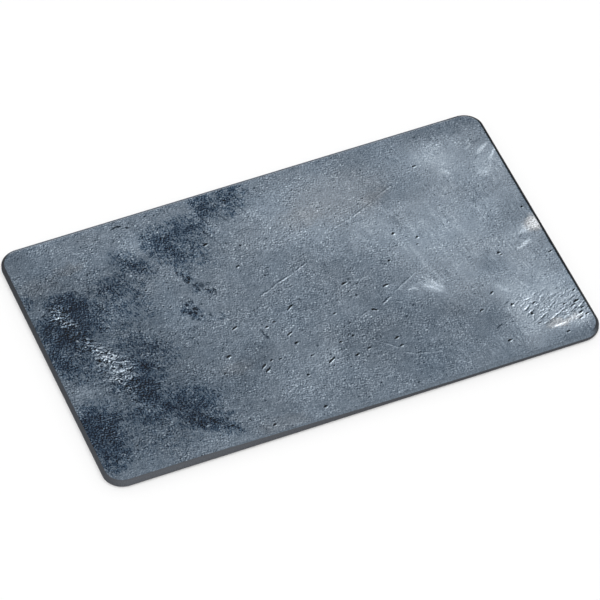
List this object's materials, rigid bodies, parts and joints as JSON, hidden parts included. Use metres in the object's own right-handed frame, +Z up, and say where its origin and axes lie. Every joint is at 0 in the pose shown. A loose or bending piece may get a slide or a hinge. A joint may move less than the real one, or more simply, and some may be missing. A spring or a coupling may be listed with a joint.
{
  "type": "glass cutting board",
  "caption": "Flat rectangular cutting board: tempered glass plate with round corners and a bevelled edge, concrete-pattern film bonded underneath, standing on rubber feet.",
  "frame": {"origin": "centre of the board's footprint, on the surface that the feet stand on", "axes": "+X along the board's length, +Y across its width away from the user, +Z up out of the cutting face"},
  "size_m": [0.4, 0.25, 0.009],
  "materials": {
    "glass": "polished face, fine-ground charcoal rim",
    "print": "printed grey-blue concrete pattern",
    "backing": "matte charcoal film",
    "foot_rubber": "matte moulded rubber",
    "adhesive": "translucent acrylic foam"
  },
  "bodies": {
    "root": {"glass_plate": "glass", "print_film": "print", "backing_film": "backing", "foot_front_left": "foot_rubber", "foot_front_right": "foot_rubber", "foot_rear_left": "foot_rubber", "foot_rear_right": "foot_rubber", "foot_adhesive_front_left": "adhesive", "foot_adhesive_front_right": "adhesive", "foot_adhesive_rear_left": "adhesive", "foot_adhesive_rear_right": "adhesive"}
  },
  "joints": []
}
